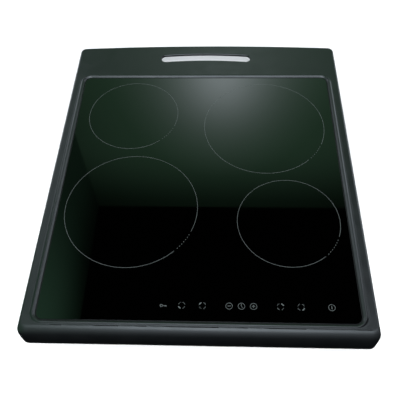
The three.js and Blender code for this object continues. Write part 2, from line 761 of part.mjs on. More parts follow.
// A point at some distance beyond the end of a limiter's head.
function beyondHead(zone, distance, z) {
  const reach = panRadius(zone) + HEAD.standOff + HEAD.length + distance;
  const angle = (zone.turn * Math.PI) / 180;
  const { x, y } = zoneRow(zone);
  return [x + reach * Math.cos(angle), y + reach * Math.sin(angle), z];
}

// Middle part of each heater's lead, between its limiter and the power board.
const LEAD_Z = 14;
const LEAD_ROUTES = {
  rear_left: [[-30, 6, 24], [-11, -34, LEAD_Z], [16, -96, LEAD_Z], [18, -150, LEAD_Z]],
  rear_right: [[-13, -9, 30], [-1, -30, 19], [17, -66, LEAD_Z], [24, -110, LEAD_Z], [24, -150, LEAD_Z]],
  front_left: [[31, -49, 30], [31, -74, 17], [30, -110, LEAD_Z], [30, -150, LEAD_Z]],
  front_right: [[40, -37, 30], [37, -60, 18], [36, -110, LEAD_Z], [36, -150, LEAD_Z]],
};

function heaterLead(zone) {
  const middle = LEAD_ROUTES[zone.id];
  const last = middle[middle.length - 1];
  const z = ROD.z - 3;
  return wire(
    [beyondHead(zone, GAP, z), beyondHead(zone, 6, z), ...middle, [last[0], STRIP_FACE, last[2]]],
    LEAD_RADIUS,
    26,
  );
}

function supplyLead() {
  const low = TRAY.sheet + SUPPLY_RADIUS + 2.5;
  return wire(
    [
      [SUPPLY.x, TRAY_REAR_Y + GAP + TERMINAL.wall + 1.2, SUPPLY.z],
      [SUPPLY.x, TRAY_REAR_Y - 14, SUPPLY.z],
      [-22, 150, low],
      [-24, 60, low],
      [-16, 0, low],
      [8, -70, low],
      [9, -150, low],
      [9, -190, LEAD_Z - 0.5],
      [9, -204, LEAD_Z - 0.5],
      [9, STRIP_FACE, LEAD_Z - 0.5],
    ],
    SUPPLY_RADIUS,
    34,
  );
}

// ---------------------------------------------------------------- assembly

const hob = new THREE.Group();

function place(name, made, material, parent = hob) {
  const mesh = new THREE.Mesh(geometryOf(made), material);
  mesh.name = name;
  parent.add(mesh);
  return mesh;
}

place("hob_frame", hobFrame(), FINISH.enamel);
place("glass_plate", glassPlate(), FINISH.glass);
place("glass_seal", glassSeal(), FINISH.silicone);
place("base_tray", baseTray(), FINISH.galvanised);
place("heat_shield", heatShield(), FINISH.galvanised);

for (const zone of ZONES) {
  const heater = new THREE.Group();
  const { x, y } = zoneRow(zone);
  const radius = panRadius(zone);
  heater.position.set(x, y, 0);
  heater.rotation.z = (zone.turn * Math.PI) / 180;
  hob.add(heater);
  place(`heater_pan_${zone.id}`, heaterPan(radius), FINISH.galvanised, heater);
  place(`insulation_${zone.id}`, insulation(radius), FINISH.fibre, heater);
  place(`element_${zone.id}`, ribbon(radius), FINISH.ribbon, heater);
  place(`limiter_${zone.id}`, limiter(radius), FINISH.ceramic, heater);
  const spring = place(`heater_spring_${zone.id}`, leafSpring(), FINISH.spring);
  spring.position.set(x, y, 0);
  place(`heater_lead_${zone.id}`, heaterLead(zone), FINISH.lead);
}

place("control_housing", controlHousing(), FINISH.plastic);
place("power_board", powerBoard(), FINISH.board);
place("touch_board", touchBoard(), FINISH.board);
for (const { name, x, width } of DISPLAYS) place(`display_${name}`, display(x, width), FINISH.display);
for (let i = 0; i < RELAYS.count; i++) {
  place(`relay_${i + 1}`, relay(RELAYS.first + i * RELAYS.pitch), FINISH.relay);
}
place("transformer", transformer(), FINISH.copper);

place("terminal_housing", terminalHousing(), FINISH.plastic);
place("terminal_block", terminalBlock(), FINISH.ceramic);
place("terminal_lid", terminalLid(), FINISH.plastic);
place("cable_gland", cableGland(), FINISH.plastic);
place("supply_lead", supplyLead(), FINISH.supply);

for (const [side, hand] of [[-1, "left"], [1, "right"]]) {
  for (const [end, y] of Object.entries(SCREW_YS)) {
    place(`side_bracket_${end}_${hand}`, sideBracket(side, y), FINISH.galvanised);
    place(`tray_screw_${end}_${hand}`, trayScrew(side, y), FINISH.screw);
  }
  place(`rear_hook_${hand}`, rearHook(side * REAR_HOOK.x), FINISH.galvanised);
  place(`front_tab_${hand}`, frontTab(side * FRONT_TAB.x), FINISH.galvanised);
}

export default hob;
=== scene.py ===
"""Looks for a four-zone glass-ceramic hob top: fine surround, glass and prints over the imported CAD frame.

Sizes are millimetres in the row frame until a mesh is made: +X right, +Y to the back, +Z up.
"""

import json
import math

import bpy
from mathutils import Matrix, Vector
from mathutils.geometry import tessellate_polygon


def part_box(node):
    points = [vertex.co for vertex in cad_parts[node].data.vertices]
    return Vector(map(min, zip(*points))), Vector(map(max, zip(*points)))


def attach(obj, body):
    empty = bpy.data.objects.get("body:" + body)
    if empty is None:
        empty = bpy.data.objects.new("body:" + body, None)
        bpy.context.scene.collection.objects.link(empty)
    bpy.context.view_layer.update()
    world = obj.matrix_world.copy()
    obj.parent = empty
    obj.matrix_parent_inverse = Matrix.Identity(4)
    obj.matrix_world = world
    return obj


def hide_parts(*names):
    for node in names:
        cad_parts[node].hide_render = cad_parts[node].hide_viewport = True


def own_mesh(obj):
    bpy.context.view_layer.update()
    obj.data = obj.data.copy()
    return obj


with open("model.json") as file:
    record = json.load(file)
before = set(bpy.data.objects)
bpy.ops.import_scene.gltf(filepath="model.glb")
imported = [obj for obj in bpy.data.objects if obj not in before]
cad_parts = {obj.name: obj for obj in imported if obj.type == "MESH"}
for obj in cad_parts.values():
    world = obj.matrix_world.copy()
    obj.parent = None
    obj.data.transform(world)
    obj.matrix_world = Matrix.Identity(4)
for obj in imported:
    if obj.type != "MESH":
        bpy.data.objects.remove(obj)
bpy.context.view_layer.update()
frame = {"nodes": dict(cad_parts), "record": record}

MM = 0.001

# ---------------------------------------------------------------- sizes taken from the frame

ROW_LOW, ROW_HIGH = [[v / MM for v in corner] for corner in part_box("hob_frame")]
GLASS_LOW, GLASS_HIGH = [[v / MM for v in corner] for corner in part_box("glass_plate")]

DECK_Z = GLASS_HIGH[2]
SKIRT_FOOT = ROW_LOW[2]
HALF_WIDTH = ROW_HIGH[0]
FRONT_Y = ROW_LOW[1]
REAR_Y = ROW_HIGH[1]
GLASS_Y = (GLASS_LOW[1] + GLASS_HIGH[1]) / 2
GLASS_HALF = (GLASS_HIGH[0], GLASS_HIGH[1] - GLASS_Y)

# ---------------------------------------------------------------- driving sizes, as in the CAD

SHEET = 1.5
SEAM = 1.5  # silicone between the glass and the surround
OPENING = (GLASS_HALF[0] + SEAM, GLASS_HALF[1] + SEAM)
OPENING_CORNER = 12.5
LEDGE_WIDTH = 7.7
LEDGE_TOP = 48.4
BEAD = {"width": 7.4, "foot": 9.8}  # outwards from the opening's edge
FRONT_SQUEEZE = 0.35  # how much narrower the bead gets in front, where the nose begins
FRONT_LOWERING = 0.45  # and how much lower

CORNER_FRONT = 12
CORNER_REAR = 11
REAR_BOW = 7
ROLL_FRONT = (16, 28)
ROLL_SIDE = (4, 5)
REAR_SKIRT_FOOT = DECK_Z - 20
REAR_SKIRT_REACH = 205
RIM = {"inner": 243, "outer": 248, "front": -255, "rear": 265}

SLOT = {"length": 172, "width": 17, "radius": 800, "y": 265.5, "lip": 4, "edge": 2.5}

SPRING = {"sheet": 1, "top": 32, "foot": 14, "pressed": 0.685}  # pressed: share of its height left

# Cooking zones from the centre of the glass: x, y, radius of the printed ring.
ZONES = {
    "rear_left": (-126, 147, 79.5),
    "rear_right": (106, 120, 104),
    "front_left": (-110, -55, 105),
    "front_right": (136, -77, 78.8),
}
RING_LINE = 0.55
RING_BREAK = {"bearing": -35, "arc": 42, "dots": 7, "pitch": 4.8, "dot": 0.65}
KEYS_Y = GLASS_Y - 217.6
KEY_RING = 4.6
KEY_LINE = 0.6
PRINT_HEIGHT = 0.05

# ---------------------------------------------------------------- mesh helpers


def make_object(name, verts, faces, material, smooth=True):
    """A mesh object from millimetre vertices."""
    mesh = bpy.data.meshes.new(name)
    mesh.from_pydata([[c * MM for c in v] for v in verts], [], faces)
    mesh.materials.append(material)
    mesh.validate()
    if smooth:
        mesh.shade_smooth()
    obj = bpy.data.objects.new(name, mesh)
    bpy.context.collection.objects.link(obj)
    return obj


def loft(rings, closed_rings=False, flip=False):
    """Vertices and quads between rings of equal count, which follow each other in a loop.

    The faces look up where the rings run anticlockwise and their points run outwards; flip turns them.
    """
    count = len(rings[0])
    verts = [p for ring in rings for p in ring]
    faces = []
    spans = count if closed_rings else count - 1
    for i in range(len(rings)):
        near = i * count
        far = ((i + 1) % len(rings)) * count
        for j in range(spans):
            k = (j + 1) % count
            face = (near + j, near + k, far + k, far + j)
            faces.append(face[::-1] if flip else face)
    return verts, faces


def join_parts(parts):
    """One vertex and face list out of several."""
    verts, faces = [], []
    for part_verts, part_faces in parts:
        base = len(verts)
        verts += part_verts
        faces += [tuple(base + i for i in face) for face in part_faces]
    return verts, faces


def box_part(x0, x1, y0, y1, z0, z1):
    verts = [(x, y, z) for z in (z0, z1) for y in (y0, y1) for x in (x0, x1)]
    faces = [(0, 2, 3, 1), (4, 5, 7, 6), (0, 1, 5, 4), (2, 6, 7, 3), (0, 4, 6, 2), (1, 3, 7, 5)]
    return verts, faces


def flat_fill(loops, z, face_up=True):
    """A flat face at z that fills an outer loop less its inner loops."""
    verts = [(x, y, z) for loop in loops for x, y in loop]
    triangles = tessellate_polygon([[Vector((x, y, 0)) for x, y in loop] for loop in loops])
    faces = []
    for i, j, k in triangles:
        (ax, ay, _), (bx, by, _), (cx, cy, _) = verts[i], verts[j], verts[k]
        turns_left = (bx - ax) * (cy - ay) - (by - ay) * (cx - ax) > 0
        faces.append((i, j, k) if turns_left == face_up else (k, j, i))
    return verts, faces


def finish_mesh(obj):
    """Merges touching patches and weights the normals by face area."""
    weld = obj.modifiers.new("weld", "WELD")
    weld.merge_threshold = 0.01 * MM
    shade = obj.modifiers.new("normals", "WEIGHTED_NORMAL")
    shade.weight = 100
    shade.keep_sharp = True
    return obj


def quarter(steps):
    """Angles from 0 to a right angle."""
    return [math.pi / 2 * k / steps for k in range(steps + 1)]


def smooth_step(t):
    t = min(max(t, 0.0), 1.0)
    return t * t * (3 - 2 * t)


# ---------------------------------------------------------------- surround


def rear_bow_at(x):
    return REAR_BOW * (x / HALF_WIDTH) ** 2


def surround_outline():
    """Stations round the outside, anticlockwise from the front left: point, normal, roll size, skirt foot."""
    stations = []

    def add(x, y, angle, roll, foot=SKIRT_FOOT):
        stations.append(((x, y), (math.cos(angle), math.sin(angle)), roll, foot))

    def rear_corner(x, y, radius, start, end, steps=10):
        for k in range(steps + 1):
            angle = start + (end - start) * k / steps
            add(x + radius * math.cos(angle), y + radius * math.sin(angle), angle, ROLL_SIDE)

    def front_corner(side, steps=16):
        """Between two arcs: the skirt's corner outside, and the deck's corner behind the nose."""
        inner_radius = CORNER_FRONT - ROLL_SIDE[0]
        for k in range(steps + 1):
            turn = math.pi / 2 * (k if side > 0 else steps - k) / steps
            out_x, out_y = side * math.sin(turn), -math.cos(turn)
            x = side * (HALF_WIDTH - CORNER_FRONT) + CORNER_FRONT * out_x
            y = FRONT_Y + CORNER_FRONT + CORNER_FRONT * out_y
            inner_x = side * (HALF_WIDTH - CORNER_FRONT) + inner_radius * out_x
            inner_y = FRONT_Y + ROLL_FRONT[0] + inner_radius * (1 + out_y)
            share = smooth_step(turn / (math.pi / 2))
            drop = ROLL_FRONT[1] + (ROLL_SIDE[1] - ROLL_FRONT[1]) * share
            angle = math.atan2(y - inner_y, x - inner_x)
            add(x, y, angle, (math.hypot(x - inner_x, y - inner_y), drop))

    front_x = HALF_WIDTH - CORNER_FRONT
    front_y = FRONT_Y + CORNER_FRONT
    rear_x = HALF_WIDTH - CORNER_REAR
    slope = math.atan(2 * REAR_BOW * rear_x / HALF_WIDTH**2)
    rear_y = REAR_Y - rear_bow_at(rear_x) - CORNER_REAR * math.cos(slope)

    for k in range(25):
        add(-front_x + 2 * front_x * k / 24, FRONT_Y, -math.pi / 2, ROLL_FRONT)
    front_corner(1)
    for k in range(1, 24):
        add(HALF_WIDTH, front_y + (rear_y - front_y) * k / 24, 0, ROLL_SIDE)
    rear_corner(rear_x, rear_y, CORNER_REAR, 0, math.pi / 2 - slope)
    for k in range(1, 60):
        x = rear_x - 2 * rear_x * k / 60
        lift = smooth_step((REAR_SKIRT_REACH + 6 - abs(x)) / 12)
        foot = SKIRT_FOOT + (REAR_SKIRT_FOOT - SKIRT_FOOT) * lift
        normal = math.pi / 2 - math.atan(2 * REAR_BOW * x / HALF_WIDTH**2)
        add(x, REAR_Y - rear_bow_at(x), normal, ROLL_SIDE, foot)
    rear_corner(-rear_x, rear_y, CORNER_REAR, math.pi / 2 + slope, math.pi)
    for k in range(1, 24):
        add(-HALF_WIDTH, rear_y - (rear_y - front_y) * k / 24, math.pi, ROLL_SIDE)
    front_corner(-1)
    return stations[:-1]


def roll_section(roll, foot, steps=18):
    """Offset and height from the flat deck round the rolled edge, down the skirt and back up inside."""
    a, b = roll
    section = [(-a + a * math.sin(t), DECK_Z - b + b * math.cos(t)) for t in quarter(steps)]
    radius = SHEET / 2
    section.append((0, foot + radius))
    section.append((-radius * 0.3, foot + radius * 0.3))
    section.append((-radius, foot))
    section.append((-radius * 1.7, foot + radius * 0.3))
    section.append((-SHEET, foot + radius))
    inner_a, inner_b = a - SHEET, b - SHEET
    top = DECK_Z - SHEET
    for t in reversed(quarter(6)):
        section.append((-SHEET - inner_a + inner_a * math.sin(t), top - inner_b + inner_b * math.cos(t)))
    return section


def opening_stations(steps=10):
    """Corner centres of the rounded rectangle round the glass, each with one of its outward normals."""
    stations = []
    for quarter_turn in range(4):
        sx, sy = [(1, 1), (-1, 1), (-1, -1), (1, -1)][quarter_turn]
        x = sx * (OPENING[0] - OPENING_CORNER)
        y = sy * (OPENING[1] - OPENING_CORNER) + GLASS_Y
        for k in range(steps + 1):
            angle = (quarter_turn + k / steps) * math.pi / 2
            stations.append((x, y, math.cos(angle), math.sin(angle)))
    return stations


def opening_outline(grow):
    """Rounded rectangle round the glass, grown by some millimetres."""
    reach = OPENING_CORNER + grow
    return [(x + nx * reach, y + ny * reach) for x, y, nx, ny in opening_stations()]


def slot_outline(grow, arc_steps=30, end_steps=12):
    """Bent stadium of the vent slot, grown by some millimetres."""
    half = SLOT["width"] / 2 + grow
    radius = SLOT["radius"]
    centre_y = SLOT["y"] - radius
    reach = math.asin((SLOT["length"] / 2 - SLOT["width"] / 2) / radius)

    def at(r, bearing):
        return r * math.sin(bearing), centre_y + r * math.cos(bearing)

    def end(bearing, start):
        x, y = at(radius, bearing)
        turns = [start - bearing + math.pi * k / end_steps for k in range(1, end_steps)]
        return [(x + half * math.cos(t), y + half * math.sin(t)) for t in turns]

    bearings = [reach - 2 * reach * k / arc_steps for k in range(arc_steps + 1)]
    rear_side = [at(radius + half, b) for b in bearings]
    front_side = [at(radius - half, b) for b in reversed(bearings)]
    return rear_side + end(-reach, math.pi / 2) + front_side + end(reach, -math.pi / 2)


def carried(profile, outline):
    """A closed or open profile of (grow, z) carried round an outline function."""
    rings_by_point = [[(x, y, z) for x, y in outline(grow)] for grow, z in profile]
    return [list(ring) for ring in zip(*rings_by_point)]


def bead_profile():
    """From the flat deck over a shallow foot and the bead's long inner slope, down the wall to the ledge."""
    outside = BEAD["foot"]
    profile = [(outside, 0), (9.3, 0.05), (8.7, 0.16), (8.2, 0.18), (7.8, 0.10), (7.4, 0.04)]
    profile += [(7.1, 0.2), (6.5, 0.72), (5.9, 1.3), (5.3, 1.78), (4.7, 2.1), (4.1, 2.2)]  # up to the crest
    profile += [(3.6, 2.1), (3.1, 1.82), (2.5, 1.42), (1.8, 0.95), (1.1, 0.48), (0.5, 0.05), (0.15, -0.4)]
    profile = [(grow, DECK_Z + z) for grow, z in profile]
    foot = LEDGE_TOP - SHEET
    profile += [(0, DECK_Z - 1.2), (0, LEDGE_TOP + 0.4), (-0.4, LEDGE_TOP)]
    profile += [(-LEDGE_WIDTH, LEDGE_TOP), (-LEDGE_WIDTH, foot), (1.5, foot), (1.9, foot + 0.4)]
    profile += [(1.9, DECK_Z - SHEET), (outside, DECK_Z - SHEET)]
    return profile


def bead_rings():
    """The bead carried round the opening, narrower and lower in front, without its foot's ridge."""
    rings = []
    for x, y, nx, ny in opening_stations():
        front = max(0.0, -ny) ** 2
        ring = []
        for grow, z in bead_profile():
            if grow > 0:
                lowering = front if grow > BEAD["width"] else FRONT_LOWERING * front
                z -= lowering * max(0.0, z - DECK_Z)
                grow *= 1 - FRONT_SQUEEZE * front
            reach = OPENING_CORNER + grow
            ring.append((x + nx * reach, y + ny * reach, z))
        rings.append(ring)
    return rings


def slot_profile():
    """From the deck over a rounded edge, down inside the slot and back up under the deck."""
    edge = SLOT["edge"]
    profile = [(edge - edge * math.sin(t), DECK_Z - edge + edge * math.cos(t)) for t in quarter(8)]
    foot = DECK_Z - SLOT["lip"]
    profile += [(0, foot + 0.3), (0.3, foot), (SHEET - 0.3, foot), (SHEET, foot + 0.3)]
    profile += [(SHEET, DECK_Z - SHEET - 1), (edge, DECK_Z - SHEET)]
    return profile


def build_surround(material):
    stations = surround_outline()
    rings = []
    for (x, y), (nx, ny), roll, foot in stations:
        rings.append([(x + nx * d, y + ny * d, z) for d, z in roll_section(roll, foot)])
    skirt = loft(rings)
    deck_edge = [(ring[0][0], ring[0][1]) for ring in rings]
    under_edge = [(ring[-1][0], ring[-1][1]) for ring in rings]
    beads = bead_rings()
    bead_edge = [(ring[0][0], ring[0][1]) for ring in beads]
    slot_edge = slot_outline(SLOT["edge"])
    deck = flat_fill([deck_edge, bead_edge, slot_edge], DECK_Z, face_up=True)
    under = flat_fill([under_edge, bead_edge, slot_edge], DECK_Z - SHEET, face_up=False)
    bead = loft(beads, flip=True)
    lip = loft(carried(slot_profile(), slot_outline), flip=True)
    rims = []
    for side in (-1, 1):
        low, high = sorted((side * RIM["inner"], side * RIM["outer"]))
        rims.append(box_part(low, high, RIM["front"], RIM["rear"], SKIRT_FOOT, SKIRT_FOOT + SHEET))
    verts, faces = join_parts([skirt, deck, under, bead, lip] + rims)
    obj = make_object("surround_shell", verts, faces, material)
    finish_mesh(obj)
    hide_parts("hob_frame")
    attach(obj, "hob")
    return obj


# ---------------------------------------------------------------- glass and seal


def build_glass(material):
    """Plate with a rounded ground edge."""
    bottom = GLASS_LOW[2]
    edge = 0.1
    profile = [(-edge + edge * math.sin(t), DECK_Z - edge + edge * math.cos(t)) for t in quarter(6)]
    profile += [(0, bottom + 0.5), (-0.5, bottom)]
    shifted = [(grow - SEAM, z) for grow, z in profile]
    rings = carried(shifted, opening_outline)
    side = loft(rings)
    top = flat_fill([[(r[0][0], r[0][1]) for r in rings]], DECK_Z, face_up=True)
    base = flat_fill([[(r[-1][0], r[-1][1]) for r in rings]], bottom, face_up=False)
    verts, faces = join_parts([side, top, base])
    obj = finish_mesh(make_object("glass_ceramic_plate", verts, faces, material))
    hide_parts("glass_plate")
    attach(obj, "hob")
    return obj


def build_seal(material):
    """Silicone that fills the seam with a hollow face and runs in under the glass."""
    face = DECK_Z - 0.9
    bed = LEDGE_TOP + 0.3
    under = GLASS_LOW[2] - 0.2
    profile = [(-0.05, face + 0.5), (-0.4, face + 0.1), (-0.75, face)]
    profile += [(-1.1, face + 0.1), (-1.45, face + 0.5)]
    profile += [(-1.45, under), (-LEDGE_WIDTH + 0.7, under), (-LEDGE_WIDTH + 0.7, bed), (-0.05, bed)]
    verts, faces = loft(carried(profile, opening_outline), closed_rings=True, flip=True)
    obj = finish_mesh(make_object("silicone_seam", verts, faces, material))
    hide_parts("glass_seal")
    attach(obj, "hob")
    return obj


# ---------------------------------------------------------------- heater springs


def spring_section(half, low, high, steps=16):
    """Closed outline of a bent strip, seen from the front: flat foot, curved leg, flat top and back down."""
    middle_low, middle_high = low + SPRING["sheet"] / 2, high - SPRING["sheet"] / 2
    leg_top, leg_foot = SPRING["top"] / 2, half - SPRING["foot"]
    line = [(half, middle_low)]
    for k in range(steps + 1):
        x = leg_foot + (leg_top - leg_foot) * k / steps
        line.append((x, middle_low + (middle_high - middle_low) * smooth_step(k / steps)))
    line += [(-x, z) for x, z in reversed(line)]
    above, below = [], []
    for i, (x, z) in enumerate(line):
        before, after = line[max(i - 1, 0)], line[min(i + 1, len(line) - 1)]
        along = Vector((after[0] - before[0], after[1] - before[1])).normalized() * SPRING["sheet"] / 2
        above.append((x + along.y, z - along.x))
        below.append((x - along.y, z + along.x))
    return above + below[::-1]


def build_springs(material):
    """Leaf springs under the heaters, each with a mesh of its own."""
    for zone in ZONES:
        low, high = [[v / MM for v in corner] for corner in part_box(f"heater_spring_{zone}")]
        x, y = (low[0] + high[0]) / 2, (low[1] + high[1]) / 2
        section = spring_section((high[0] - low[0]) / 2, low[2], high[2])
        rings = [[(x + u, side, z) for u, z in section] for side in (low[1], high[1])]
        count = len(section)
        verts = rings[0] + rings[1]
        faces = [((i + 1) % count, i, count + i, count + (i + 1) % count) for i in range(count)]
        half = count // 2
        for i in range(half - 1):
            faces.append((i, i + 1, count - 2 - i, count - 1 - i))
            faces.append((count + i + 1, count + i, 2 * count - 1 - i, 2 * count - 2 - i))
        obj = make_object(f"leaf_spring_{zone}", verts, faces, material, smooth=False)
        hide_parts(f"heater_spring_{zone}")
        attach(obj, "hob")
        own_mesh(obj)


# ---------------------------------------------------------------- prints on the glass


def arc_strip(x, y, radius, width, start, end, steps=None):
    """A flat printed arc, as a low closed band; angles in degrees."""
    steps = steps or max(6, int(abs(end - start) / 3))
    rings = []
    for k in range(steps + 1):
        angle = math.radians(start + (end - start) * k / steps)
        c, s = math.cos(angle), math.sin(angle)
        inner, outer = radius - width / 2, radius + width / 2
        low, high = DECK_Z, DECK_Z + PRINT_HEIGHT
        rings.append([
            (x + inner * c, y + inner * s, high),
            (x + outer * c, y + outer * s, high),
            (x + outer * c, y + outer * s, low),
            (x + inner * c, y + inner * s, low),
        ])
    verts = [p for ring in rings for p in ring]
    faces = []
    for i in range(steps):
        for j in range(4):
            k = (j + 1) % 4
            faces.append((i * 4 + j, i * 4 + k, (i + 1) * 4 + k, (i + 1) * 4 + j))
    faces += [(3, 2, 1, 0), (steps * 4, steps * 4 + 1, steps * 4 + 2, steps * 4 + 3)]
    return verts, faces


def printed_disc(x, y, radius, steps=16):
    points = [(x + radius * math.cos(2 * math.pi * k / steps), y + radius * math.sin(2 * math.pi * k / steps))
              for k in range(steps)]
    return printed_polygon(points)


def printed_polygon(points):
    """A flat printed patch with a little thickness; its points run anticlockwise."""
    count = len(points)
    verts = [(x, y, DECK_Z + PRINT_HEIGHT) for x, y in points] + [(x, y, DECK_Z) for x, y in points]
    faces = [tuple(range(count)), tuple(reversed(range(count, 2 * count)))]
    for i in range(count):
        k = (i + 1) % count
        faces.append((k, i, count + i, count + k))
    return verts, faces


def printed_bar(x, y, length, width, angle=0.0):
    c, s = math.cos(math.radians(angle)), math.sin(math.radians(angle))
    u, v = length / 2, width / 2
    corners = [(-u, -v), (u, -v), (u, v), (-u, v)]
    return printed_polygon([(x + c * a - s * b, y + s * a + c * b) for a, b in corners])


def place_print(name, parts, material):
    verts, faces = join_parts(parts)
    obj = make_object(name, verts, faces, material, smooth=False)
    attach(obj, "hob")
    return obj


def build_zone_prints(material):
    """A thin ring round each zone, broken by a row of dots."""
    for name, (x, y, radius) in ZONES.items():
        y += GLASS_Y
        half = math.degrees(RING_BREAK["arc"] / 2 / radius)
        bearing = RING_BREAK["bearing"]
        parts = [arc_strip(x, y, radius, RING_LINE, bearing + half, bearing - half + 360, 150)]
        for k in range(RING_BREAK["dots"]):
            along = (k - (RING_BREAK["dots"] - 1) / 2) * RING_BREAK["pitch"]
            angle = math.radians(bearing) + along / radius
            parts.append(printed_disc(
                x + radius * math.cos(angle), y + radius * math.sin(angle), RING_BREAK["dot"]))
        place_print(f"zone_ring_{name}", parts, material)


def zone_key(x, bold):
    """Four arcs, one of them bold: the zone that the key selects."""
    parts = []
    for k in range(4):
        middle = 45 + 90 * k
        width = KEY_LINE * (2.6 if k == bold else 0.8)
        parts.append(arc_strip(x, KEYS_Y, KEY_RING, width, middle - 28, middle + 28, 10))
    return parts


def ring_key(x):
    return [arc_strip(x, KEYS_Y, KEY_RING, KEY_LINE, 0, 360, 32)]


def build_key_prints(material):
    y = KEYS_Y
    marks = {
        "key_mark_lock": [
            arc_strip(-50.6, y - 0.8, 1.7, 0.9, 0, 360, 20),
            printed_bar(-46.2, y - 0.8, 5.6, 0.8),
            printed_bar(-43.9, y - 1.8, 0.8, 1.4),
            printed_bar(-45.7, y - 1.7, 0.8, 1.2),
        ],
        "key_mark_zone_front_left": zone_key(-22, 2),
        "key_mark_zone_rear_left": zone_key(7, 1),
        "key_mark_minus": ring_key(44.3) + [printed_bar(44.3, y, 4.2, 0.9)],
        "key_mark_timer": ring_key(61.5) + [
            printed_bar(61.3, y + 1.3, 0.8, 3.0),
            printed_bar(62.1, y - 0.8, 2.8, 0.8, -50),
        ],
        "key_mark_plus": ring_key(78.3) + [printed_bar(78.3, y, 4.2, 0.9), printed_bar(78.3, y, 0.9, 4.2)],
        "key_mark_zone_rear_right": zone_key(115.6, 0),
        "key_mark_zone_front_right": zone_key(144.2, 3),
        "key_mark_power": ring_key(186.5) + [printed_bar(186.5, y, 1.0, 4.8)],
    }
    for name, parts in marks.items():
        place_print(name, parts, material)


# ---------------------------------------------------------------- materials


class Nodes:
    """A short way to lay out one material's nodes."""

    def __init__(self, name):
        self.material = bpy.data.materials.new(name)
        self.material.use_nodes = True
        self.tree = self.material.node_tree
        self.shader = self.tree.nodes["Principled BSDF"]
        self.coordinates = self.tree.nodes.new("ShaderNodeTexCoord").outputs["Object"]

    def link(self, source, target):
        self.tree.links.new(source, target)

    def shader_values(self, **values):
        names = {"metallic": "Metallic", "roughness": "Roughness", "ior": "IOR", "coat": "Coat Weight",
                 "specular": "Specular IOR Level", "sheen": "Sheen Weight"}
        for key, value in values.items():
            self.shader.inputs[names[key]].default_value = value

    def noise(self, scale, detail=3.0, stretch=(1, 1, 1)):
        mapping = self.tree.nodes.new("ShaderNodeMapping")
        mapping.inputs["Scale"].default_value = stretch
        self.link(self.coordinates, mapping.inputs["Vector"])
        node = self.tree.nodes.new("ShaderNodeTexNoise")
        node.inputs["Scale"].default_value = scale
        node.inputs["Detail"].default_value = detail
        self.link(mapping.outputs["Vector"], node.inputs["Vector"])
        return node.outputs["Fac"]

    def ramp(self, factor, stops):
        node = self.tree.nodes.new("ShaderNodeValToRGB")
        for element, (place, colour) in zip(node.color_ramp.elements, (stops[0], stops[-1])):
            element.position = place
            element.color = (*colour, 1)
        for place, colour in stops[1:-1]:
            node.color_ramp.elements.new(place).color = (*colour, 1)
        self.link(factor, node.inputs["Fac"])
        return node.outputs["Color"]

    def spread(self, factor, low, high):
        node = self.tree.nodes.new("ShaderNodeMapRange")
        node.inputs["From Min"].default_value = 0.3
        node.inputs["From Max"].default_value = 0.7
        node.inputs["To Min"].default_value = low
        node.inputs["To Max"].default_value = high
        self.link(factor, node.inputs["Value"])
        return node.outputs["Result"]

    def bump(self, factor, strength, depth_mm):
        node = self.tree.nodes.new("ShaderNodeBump")
        node.inputs["Strength"].default_value = strength
        node.inputs["Distance"].default_value = depth_mm * MM
        self.link(factor, node.inputs["Height"])
        self.link(node.outputs["Normal"], self.shader.inputs["Normal"])

    def colour(self, source):
        self.link(source, self.shader.inputs["Base Color"])

    def roughness(self, source):
        self.link(source, self.shader.inputs["Roughness"])


def enamel():
    """Dark grey-green vitreous enamel with a satin, faintly pebbled skin."""
    n = Nodes("enamel_satin")
    n.shader_values(specular=0.35, coat=0.0)
    n.colour(n.ramp(n.noise(38, 4), [(0.35, (0.0021, 0.0026, 0.0031)), (0.65, (0.0029, 0.0034, 0.0040))]))
    n.roughness(n.spread(n.noise(60, 3), 0.31, 0.38))
    n.bump(n.noise(1400, 2), 0.12, 0.05)
    return n.material


def glass_ceramic():
    """Black glass-ceramic with a hard polish and the faintest wiped haze."""
    n = Nodes("glass_ceramic_black")
    n.shader_values(ior=1.5, specular=0.5)
    dark, light = (0.00002, 0.00003, 0.00002), (0.00006, 0.00008, 0.00006)
    n.colour(n.ramp(n.noise(500, 2), [(0.3, dark), (0.7, light)]))
    n.roughness(n.spread(n.noise(14, 5, (1, 0.35, 1)), 0.015, 0.045))
    return n.material


def glass_print():
    """Pale grey ceramic ink fired into the glass."""
    n = Nodes("ceramic_ink")
    n.shader_values(specular=0.15)
    n.colour(n.ramp(n.noise(900, 3), [(0.3, (0.060, 0.070, 0.068)), (0.7, (0.080, 0.092, 0.090))]))
    n.roughness(n.spread(n.noise(500), 0.5, 0.65))
    return n.material


def silicone():
    n = Nodes("silicone_black")
    n.shader_values(specular=0.08)
    n.colour(n.ramp(n.noise(300, 3), [(0.3, (0.004, 0.005, 0.005)), (0.7, (0.009, 0.010, 0.010))]))
    n.roughness(n.spread(n.noise(200), 0.5, 0.7))
    n.bump(n.noise(900, 2), 0.15, 0.05)
    return n.material


def galvanised():
    """Zinc-coated sheet: large dull spangles under a fine grain."""
    n = Nodes("galvanised_sheet")
    n.shader_values(metallic=0.85)
    cells = n.tree.nodes.new("ShaderNodeTexVoronoi")
    cells.inputs["Scale"].default_value = 110
    n.link(n.coordinates, cells.inputs["Vector"])
    n.colour(n.ramp(cells.outputs["Distance"], [(0.0, (0.46, 0.48, 0.49)), (0.8, (0.60, 0.62, 0.62))]))
    n.roughness(n.spread(n.noise(90, 4), 0.38, 0.55))
    n.bump(n.noise(700, 3), 0.1, 0.04)
    return n.material


def brushed(name, dark, light, low, high, stretch):
    n = Nodes(name)
    n.shader_values(metallic=0.9)
    grain = n.noise(240, 5, stretch)
    n.colour(n.ramp(grain, [(0.3, dark), (0.7, light)]))
    n.roughness(n.spread(grain, low, high))
    n.bump(grain, 0.15, 0.03)
    return n.material


